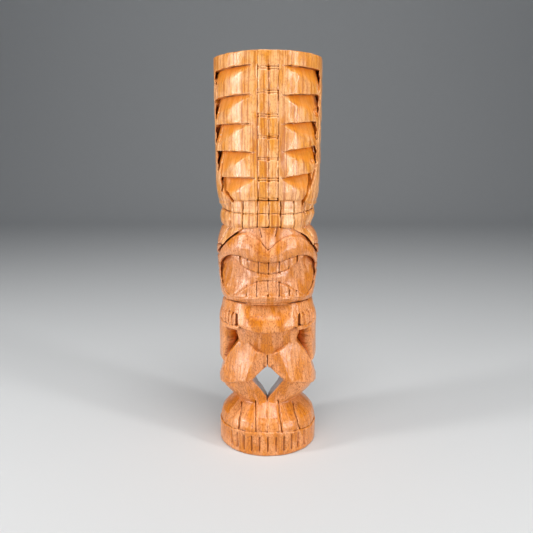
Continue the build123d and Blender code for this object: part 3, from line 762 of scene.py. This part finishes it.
def node_voxels(node):
    """The voxels inside a CAD node, by where upright rays cross its mesh."""
    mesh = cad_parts[node].data
    mesh.calc_loop_triangles()
    points = np.empty(len(mesh.vertices) * 3)
    mesh.vertices.foreach_get("co", points)
    points = points.reshape(-1, 3) / MM
    corners = np.empty(len(mesh.loop_triangles) * 3, int)
    mesh.loop_triangles.foreach_get("vertices", corners)
    triangles = points[corners.reshape(-1, 3)]
    low, high = points.min(0), points.max(0)
    first = [max(int(np.searchsorted(a, low[i])) - 1, 0) for i, a in enumerate(block.axes)]
    last = [int(np.searchsorted(a, high[i])) + 1 for i, a in enumerate(block.axes)]
    window = tuple(slice(a, b) for a, b in zip(first, last))
    xs = block.axes[0][window[0]] + COLUMN_SHIFT[0]
    ys = block.axes[1][window[1]] + COLUMN_SHIFT[1]
    zs = block.axes[2][window[2]]
    crossings = np.zeros((len(xs), len(ys), len(zs) + 1), np.int16)
    for a, b, c in triangles:
        area = (b[0] - a[0]) * (c[1] - a[1]) - (b[1] - a[1]) * (c[0] - a[0])
        if abs(area) < 1e-9:
            continue
        i0, i1 = np.searchsorted(xs, (min(a[0], b[0], c[0]), max(a[0], b[0], c[0])))
        j0, j1 = np.searchsorted(ys, (min(a[1], b[1], c[1]), max(a[1], b[1], c[1])))
        if i0 == i1 or j0 == j1:
            continue
        px, py = xs[i0:i1, None], ys[None, j0:j1]
        wb = ((px - a[0]) * (c[1] - a[1]) - (py - a[1]) * (c[0] - a[0])) / area
        wc = ((b[0] - a[0]) * (py - a[1]) - (b[1] - a[1]) * (px - a[0])) / area
        hit = (wb >= 0) & (wc >= 0) & (wb + wc <= 1)
        if hit.any():
            height = a[2] + wb * (b[2] - a[2]) + wc * (c[2] - a[2])
            i, j = np.nonzero(hit)
            np.add.at(crossings, (i + i0, j + j0, np.searchsorted(zs, height[hit])), 1)
    return window, np.cumsum(crossings, axis=2)[:, :, :-1] % 2 == 1


wood = block.field < 0.0
label = np.zeros(block.field.shape, np.uint8)
for number, node in enumerate(NODES, start=1):
    window, inside = node_voxels(node)
    label[window][inside & wood[window] & (label[window] == 0)] = number

# Wood that no CAD node holds goes to the nearest piece.
stride_x, stride_y = label.shape[1] * label.shape[2], label.shape[2]
flat = label.ravel()
bare = np.flatnonzero(wood.ravel() & (flat == 0))
while len(bare):
    taken = np.zeros(len(bare), np.uint8)
    for stride in (1, -1, stride_y, -stride_y, stride_x, -stride_x):
        near = flat[bare + stride]
        taken = np.where(taken == 0, near, taken)
    if not taken.any():
        break
    flat[bare] = taken
    bare = bare[taken == 0]
label = flat.reshape(label.shape)
# The feet keep the whole of their dome, up to where the shins come out of it.
cuts, grid_x, grid_y, grid_z = block.window(*across(*DOME_ENDS))
in_dome = feet(grid_x, grid_y, grid_z) < DOME_REACH
for side in ("left_", "right_"):
    taken = in_dome & (label[cuts] == NODES.index(side + "shin") + 1)
    label[cuts][taken] = NODES.index(side + "foot") + 1
wood = label > 0

# ---- how deep in a recess

TIGHT_REACH, WIDE_REACH = 0.45, 2.4         # half the cubes that the wood is counted in, mm


def crowding(reach):
    """The share of wood in a cube around each voxel."""
    filled = np.clip(0.5 - block.field / STEP, 0.0, 1.0)
    steps = max(1, round(reach / STEP))
    for axis in range(3):
        total = np.cumsum(filled, axis=axis, dtype=np.float32)
        total = np.moveaxis(total, axis, 0)
        ahead = np.concatenate([total[steps:], np.repeat(total[-1:], steps, axis=0)])
        behind = np.concatenate([np.zeros_like(total[:steps + 1]), total[:-steps - 1]])
        filled = np.moveaxis((ahead - behind) / (2 * steps + 1), 0, axis)
    return filled


tight, wide = crowding(TIGHT_REACH), crowding(WIDE_REACH)

# ---- one surface for all the pieces

EASING_ROUNDS = 3
inner = tuple(n - 1 for n in label.shape)
corners = [(i, j, k) for i in (0, 1) for j in (0, 1) for k in (0, 1)]


def at(array, offset):
    """The array at one corner of every cell."""
    return array[tuple(slice(o, o + n) for o, n in zip(offset, inner))]


first = at(label, (0, 0, 0))
mixed = np.zeros(inner, bool)
for offset in corners[1:]:
    mixed |= at(label, offset) != first
cells = np.argwhere(mixed)
number_of = np.full(inner, -1, np.int32)
number_of[tuple(cells.T)] = np.arange(len(cells))

edges = [(a, b) for a in corners for b in corners
         if sum(b) - sum(a) == 1 and sum(abs(p - q) for p, q in zip(a, b)) == 1]
skin_sum, skin_count = np.zeros((len(cells), 3)), np.zeros(len(cells))
wall_sum, wall_count = np.zeros((len(cells), 3)), np.zeros(len(cells))
for a, b in edges:
    ia, ib = tuple((cells + a).T), tuple((cells + b).T)
    la, lb = label[ia], label[ib]
    fa, fb = block.field[ia].astype(float), block.field[ib].astype(float)
    outer = (la != lb) & ((la == 0) | (lb == 0))
    apart = np.where(np.abs(fa - fb) > 1e-6, fa - fb, 1e-6)
    share = np.where(outer, np.clip(fa / apart, 0.02, 0.98), 0.5)
    point = np.array(a) + share[:, None] * (np.array(b) - np.array(a))
    joint = (la != lb) & ~outer
    skin_sum += point * outer[:, None]
    skin_count += outer
    wall_sum += point * joint[:, None]
    wall_count += joint
on_skin = skin_count > 0
place = np.where(on_skin[:, None], skin_sum / np.maximum(skin_count, 1)[:, None],
                 wall_sum / np.maximum(wall_count, 1)[:, None])
spots = (cells + place) * STEP + block.low

quads, owners, skins = [], [], []
for axis in range(3):
    step = np.zeros(3, int)
    step[axis] = 1
    others = [i for i in range(3) if i != axis]
    lead = [slice(1, -1)] * 3
    lead[axis] = slice(0, -1)
    follow = list(lead)
    follow[axis] = slice(1, None)
    a, b = label[tuple(lead)], label[tuple(follow)]
    at_edge = np.argwhere(a != b)
    start = at_edge + [0 if i == axis else 1 for i in range(3)]
    la, lb = a[tuple(at_edge.T)], b[tuple(at_edge.T)]
    u, v = np.zeros(3, int), np.zeros(3, int)
    u[others[0]], v[others[1]] = 1, 1
    ring = [number_of[tuple((start - d).T)] for d in (u + v, v, np.zeros(3, int), u)]
    ring = np.stack(ring, axis=1)
    if axis == 1:
        ring = ring[:, ::-1]
    skin = (la == 0) | (lb == 0)
    for owner, rows in ((la, ring), (lb, ring[:, ::-1])):
        kept = owner > 0
        quads.append(rows[kept])
        owners.append(owner[kept])
        skins.append(skin[kept])
quads, owners, skins = np.concatenate(quads), np.concatenate(owners), np.concatenate(skins)

# The joint faces between pieces are eased where the voxels leave them stepped.
wall_points = ~on_skin
for _ in range(EASING_ROUNDS):
    total, count = np.zeros_like(spots), np.zeros(len(spots))
    for a in range(4):
        for b in ((a + 1) % 4, (a + 3) % 4):
            np.add.at(total, quads[:, a], spots[quads[:, b]])
            np.add.at(count, quads[:, a], 1.0)
    eased = total / np.maximum(count, 1)[:, None]
    spots[wall_points] += 0.5 * (eased - spots)[wall_points]

across_one = spots[quads[:, 2]] - spots[quads[:, 0]]
across_two = spots[quads[:, 3]] - spots[quads[:, 1]]
facing = np.cross(across_one, across_two)
normals = np.zeros_like(spots)
for corner in range(4):
    for i in range(3):
        normals[:, i] += np.bincount(quads[skins, corner], facing[skins, i], len(spots))
normals /= np.maximum(np.linalg.norm(normals, axis=1), 1e-9)[:, None]


def sampled(array):
    """A voxel array read at each surface point, between the corners of its cell."""
    total = 0.0
    for corner in corners:
        share = np.prod(np.where(corner, place, 1.0 - place), axis=1)
        total = total + share * array[tuple((cells + corner).T)]
    return total


def rising(values, start, span):
    """0 up to start, and 1 from one span further on."""
    return np.clip((values - start) / span, 0.0, 1.0)


# What the material is told about each point: in a cut and in a wider hollow, which it darkens as
# painted shade;
# on an arris, which it lightens as a painted highlight that is partly wear; and below the skin of
# the headdress, where fresh wood shows and which it tints deeper orange, partly as painted shade.
SUNK_ENDS = (133, 198.5)
close, around = sampled(tight), sampled(wide)
height = spots[:, 2]
below = np.interp(height, *zip(*CROWN)) - np.hypot(spots[:, 0], spots[:, 1])
SHADES = {"recess": rising(close, 0.55, 0.16),
          "hollow": rising(around, 0.54, 0.22),
          "sunk": rising(below, 0.25, 0.7) * (height > SUNK_ENDS[0]) * (height < SUNK_ENDS[1]),
          "edge": rising(-close, -0.46, 0.16)}


# ---- lacquered wood

# Dark brown for the pores, and for the painted shade that darkens the cuts.
PORE_AND_SHADE_BROWN = (0.070, 0.018, 0.006)
# Deeper orange for the sunk facets of the headdress: fresh-cut wood, and painted shade where the
# facets catch no highlight.
FRESH_CUT_AND_SHADE_ORANGE = (0.78, 0.250, 0.012)
# A shaded brown painted into the wider hollows, such as under the chest: painted shade.
PAINTED_HOLLOW_SHADE = (0.56, 0.138, 0.005)
END_GRAIN = (202.2, 202.7)                  # heights between which the top face takes over, mm
RING_GAP, RING_SWAY, RING_SHARPNESS = 3.1, 16, 2.2     # of the growth rings, mm
HEART = (7, -11)                        # added to x and y, mm
# Each noise's scale per mm, across the log and down it.
SWAY, STREAKS, FINE = (0.05, 0.05, 0.012), (1.1, 1.1, 0.035), (5.5, 5.5, 0.16)
CLOUDS, SPECKLE, PORES = (0.15, 0.15, 0.075), (1.3, 1.3, 0.9), (3.4, 3.4, 0.30)
# How strongly each thing tints the wood, beside a material's own streaks and mottle.
RINGS, TOP_RINGS, FINE_STREAKS, PORE_STAIN = 0.25, 0.7, 0.6, 0.26
# The arrises are lightened towards the pale wood: a painted highlight, partly rubbed wear.
SUNK_TINT, HOLLOW_SHADE_AMOUNT, EDGE_HIGHLIGHT_AND_WEAR = 0.7, 0.75, 0.45


def wood_material(name, pale, middle, deep, streaked, gloss, mottle):
    """Oiled and lacquered hardwood: rings, streaks and pores, with painted shade in the cuts and
    hollows and a painted highlight on the arrises.
    """
    made = bpy.data.materials.new(name)
    made.use_nodes = True
    tree = made.node_tree
    nodes, links = tree.nodes, tree.links
    shader = nodes["Principled BSDF"]

    def node(kind, **settings):
        new = nodes.new(kind)
        for key, value in settings.items():
            setattr(new, key, value)
        return new

    def feed(socket, value):
        if isinstance(value, bpy.types.NodeSocket):
            links.new(value, socket)
        else:
            socket.default_value = value

    def maths(operation, a, b=0.0):
        new = node("ShaderNodeMath", operation=operation)
        for socket, value in zip(new.inputs, (a, b)):
            feed(socket, value)
        return new.outputs[0]

    def times(a, b):
        return maths("MULTIPLY", a, b)

    def plus(a, b):
        return maths("ADD", a, b)

    def shade(name):
        return node("ShaderNodeAttribute", attribute_name=name).outputs["Fac"]

    def noise(factors, detail, roughness=0.55, distortion=0.0, shift=(0.0, 0.0, 0.0)):
        mapping = node("ShaderNodeMapping")
        links.new(skin, mapping.inputs["Vector"])
        mapping.inputs["Scale"].default_value = factors
        mapping.inputs["Location"].default_value = shift
        new = node("ShaderNodeTexNoise")
        links.new(mapping.outputs[0], new.inputs["Vector"])
        new.inputs["Scale"].default_value = 1.0
        new.inputs["Detail"].default_value = detail
        new.inputs["Roughness"].default_value = roughness
        new.inputs["Distortion"].default_value = distortion
        return new.outputs["Fac"]

    def spread(value, low, high, to_low=0.0, to_high=1.0):
        new = node("ShaderNodeMapRange", interpolation_type="SMOOTHSTEP")
        for socket, given in zip(new.inputs, (value, low, high, to_low, to_high)):
            feed(socket, given)
        return new.outputs[0]

    def mixed(amount, a, b):
        new = node("ShaderNodeMix", data_type="RGBA")
        feed(new.inputs[0], amount)
        feed(new.inputs[6], a if isinstance(a, bpy.types.NodeSocket) else (*a, 1.0))
        feed(new.inputs[7], b if isinstance(b, bpy.types.NodeSocket) else (*b, 1.0))
        return new.outputs[2]

    def raised(height, strength, distance, socket):
        bump = node("ShaderNodeBump")
        bump.inputs["Strength"].default_value = strength
        bump.inputs["Distance"].default_value = distance * MM
        links.new(height, bump.inputs["Height"])
        links.new(bump.outputs[0], shader.inputs[socket])

    def reach_of(x, y):
        return maths("SQRT", plus(times(x, x), times(y, y)))

    coordinates = node("ShaderNodeTexCoord")
    recess = shade("recess")

    # The grain is laid round the log, so that it runs straight down cuts of every depth.
    split = node("ShaderNodeSeparateXYZ")
    links.new(coordinates.outputs["Object"], split.inputs[0])
    x, y, z = (maths("DIVIDE", socket, MM) for socket in split.outputs)
    outward = maths("DIVIDE", CROWN_RADIUS, plus(reach_of(x, y), 0.5))
    outward = spread(z, *END_GRAIN, outward, 1.0)
    laid = node("ShaderNodeCombineXYZ")
    for socket, value in zip(laid.inputs, (times(x, outward), times(y, outward), z)):
        links.new(value, socket)
    skin = laid.outputs[0]

    # Growth rings round a heart that lies to one side of the middle of the log.
    reach = reach_of(plus(x, HEART[0]), plus(y, HEART[1]))
    reach = plus(reach, times(noise(SWAY, 2.0), RING_SWAY))
    late_wood = maths("POWER", maths("FRACT", maths("DIVIDE", reach, RING_GAP)), RING_SHARPNESS)

    streaks = noise(STREAKS, 4.0, 0.6)
    fine = noise(FINE, 3.0, 0.6)
    speckle = noise(SPECKLE, 4.0, 0.70)
    pores = spread(noise(PORES, 2.0, 0.5, shift=(3.0, 1.0, 2.0)), 0.60, 0.70)

    colour = mixed(spread(noise(CLOUDS, 3.0, 0.5, 0.6), 0.42, 0.58), middle, pale)
    rings = plus(times(spread(z, *END_GRAIN), TOP_RINGS), RINGS * streaked)
    # Painted shade: the cuts are darkened towards dark brown, varied a little with the fine grain.
    painted_cut_shade = times(recess, spread(fine, 0.15, 0.6, 0.75, 1.0))
    for amount, tint in ((times(late_wood, rings), deep),
                         (times(spread(streaks, 0.48, 0.64), streaked), deep),
                         (times(spread(streaks, 0.48, 0.34), streaked), pale),
                         (times(spread(fine, 0.50, 0.66), FINE_STREAKS * streaked), deep),
                         (times(spread(speckle, 0.48, 0.64), mottle), deep),
                         (times(pores, PORE_STAIN), PORE_AND_SHADE_BROWN),
                         # Deeper orange on the sunk facets, partly painted shade.
                         (times(shade("sunk"), SUNK_TINT), FRESH_CUT_AND_SHADE_ORANGE),
                         # Painted shade in the wider hollows.
                         (times(shade("hollow"), HOLLOW_SHADE_AMOUNT), PAINTED_HOLLOW_SHADE),
                         # Painted highlight, partly wear, on the arrises.
                         (times(shade("edge"), EDGE_HIGHLIGHT_AND_WEAR), pale),
                         (painted_cut_shade, PORE_AND_SHADE_BROWN)):
        colour = mixed(amount, colour, tint)
    links.new(colour, shader.inputs["Base Color"])

    rough = plus(plus(times(fine, 0.16), gloss), times(recess, 0.30))
    links.new(rough, shader.inputs["Roughness"])
    for socket, value in (("Specular IOR Level", 0.42), ("Coat Weight", 0.55),
                          ("Coat Roughness", 0.14), ("Coat IOR", 1.45)):
        shader.inputs[socket].default_value = value

    height = plus(times(fine, 0.5), times(streaks, 0.8))
    height = maths("SUBTRACT", height, times(pores, 0.35))
    height = plus(height, times(speckle, 0.25))
    raised(height, 0.55, 0.16, "Normal")
    raised(height, 0.35, 0.10, "Coat Normal")
    return made


MATERIALS = {
    "crown_wood": wood_material("crown_wood", (0.90, 0.47, 0.190), (0.76, 0.300, 0.030),
                                (0.42, 0.105, 0.012), 0.80, 0.27, 0.45),
    "face_wood": wood_material("face_wood", (0.80, 0.35, 0.140), (0.66, 0.215, 0.014),
                               (0.36, 0.078, 0.006), 0.45, 0.27, 0.75),
    "body_wood": wood_material("body_wood", (0.80, 0.33, 0.110), (0.68, 0.215, 0.008),
                               (0.36, 0.078, 0.004), 0.40, 0.28, 0.80),
}


def slot_of(node):
    """The material slot of a CAD node."""
    if node.startswith(("crown", "headband")) or "_crown_" in node:
        return "crown_wood"
    if node in ("head", "brow") or node.endswith(("lip", "teeth", "temple")):
        return "face_wood"
    return "body_wood"


# ---- the pieces

for number, node in enumerate(NODES, start=1):
    rows = owners == number
    used, own = np.unique(quads[rows], return_inverse=True)
    own = own.reshape(-1, 4)
    on_top = skins[rows]
    mesh = bpy.data.meshes.new("carved_" + node)
    mesh.vertices.add(len(used))
    mesh.vertices.foreach_set("co", (spots[used] * MM).astype(np.float32).ravel())
    mesh.loops.add(own.size)
    mesh.loops.foreach_set("vertex_index", own.astype(np.int32).ravel())
    mesh.polygons.add(len(own))
    mesh.polygons.foreach_set("loop_start", np.arange(0, own.size, 4, dtype=np.int32))
    mesh.polygons.foreach_set("use_smooth", np.ones(len(own), bool))
    mesh.update(calc_edges=True)
    for name, values in SHADES.items():
        mesh.attributes.new(name, "FLOAT", "POINT").data.foreach_set(
            "value", values[used].astype(np.float32))
    even = facing[rows] / np.maximum(np.linalg.norm(facing[rows], axis=1), 1e-9)[:, None]
    loop_normals = np.repeat(even, 4, axis=0)
    shown = np.repeat(on_top, 4)
    loop_normals[shown] = normals[quads[rows]].reshape(-1, 3)[shown]
    mesh.normals_split_custom_set(loop_normals)
    piece = bpy.data.objects.new("carved_" + node, mesh)
    bpy.context.scene.collection.objects.link(piece)
    mesh.materials.append(MATERIALS[slot_of(node)])
    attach(piece, "root")
    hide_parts(node)

# ---- floor, light and camera

FLOOR_FRONT, FLOOR_BACK, SWEEP, WALL_TOP, HALF_WIDTH = -2.5, 1.1, 0.7, 3, 3.0
line = [(FLOOR_FRONT, 0), (FLOOR_BACK, 0)]
line += [(FLOOR_BACK + SWEEP * math.sin(a), SWEEP * (1.0 - math.cos(a)))
         for a in np.linspace(0.0, math.pi / 2.0, 17)[1:]]
line.append((FLOOR_BACK + SWEEP, WALL_TOP))
floor_mesh = bpy.data.meshes.new("floor")
floor_mesh.from_pydata([(x, y, z) for y, z in line for x in (-HALF_WIDTH, HALF_WIDTH)], [],
                       [(2 * i, 2 * i + 1, 2 * i + 3, 2 * i + 2) for i in range(len(line) - 1)])
for polygon in floor_mesh.polygons:
    polygon.use_smooth = True
floor = bpy.data.objects.new("floor", floor_mesh)
bpy.context.scene.collection.objects.link(floor)
paper = bpy.data.materials.new("paper")
paper.use_nodes = True
paper_shader = paper.node_tree.nodes["Principled BSDF"]
paper_shader.inputs["Base Color"].default_value = (0.62, 0.64, 0.66, 1.0)
paper_shader.inputs["Roughness"].default_value = 0.75
floor_mesh.materials.append(paper)

world = bpy.data.worlds.new("studio")
world.use_nodes = True
world.node_tree.nodes["Background"].inputs["Color"].default_value = (0.86, 0.90, 0.96, 1.0)
world.node_tree.nodes["Background"].inputs["Strength"].default_value = 0.12
bpy.context.scene.world = world
bpy.context.scene.view_settings.view_transform = "Standard"

AIM = Vector((0.0, 0.0, 0.11))              # what every softbox faces
WARM = (1, 0.98, 0.95)


def softbox(name, place, width, height, watts):
    light = bpy.data.lights.new(name, "AREA")
    light.shape = "RECTANGLE"
    light.size, light.size_y = width, height
    light.energy = watts
    light.color = WARM
    made = bpy.data.objects.new(name, light)
    made.location = place
    made.rotation_euler = (AIM - Vector(place)).to_track_quat("-Z", "Y").to_euler()
    made.visible_camera = False
    bpy.context.scene.collection.objects.link(made)


softbox("left_softbox", (-0.60, -0.22, 0.24), 0.10, 0.52, 3.2)
softbox("right_softbox", (0.52, -0.34, 0.24), 0.08, 0.52, 2.5)
softbox("top_softbox", (0.05, -0.34, 0.95), 0.60, 0.45, 6.9)
softbox("left_low_softbox", (-0.40, -0.40, 0.07), 0.05, 0.12, 0.45)
softbox("right_low_softbox", (0.40, -0.42, 0.07), 0.05, 0.12, 0.45)

CAMERA_PITCH = 10.4                         # degrees downwards
camera_data = bpy.data.cameras.new("camera")
camera_data.lens = 38.84
camera_data.sensor_width = 36.0
camera_data.clip_start = 0.01
camera = bpy.data.objects.new("camera", camera_data)
camera.location = (-0.0007, -0.305, 0.1525)
camera.rotation_euler = (math.radians(90.0 - CAMERA_PITCH), 0, 0)
bpy.context.scene.collection.objects.link(camera)
bpy.context.scene.camera = camera
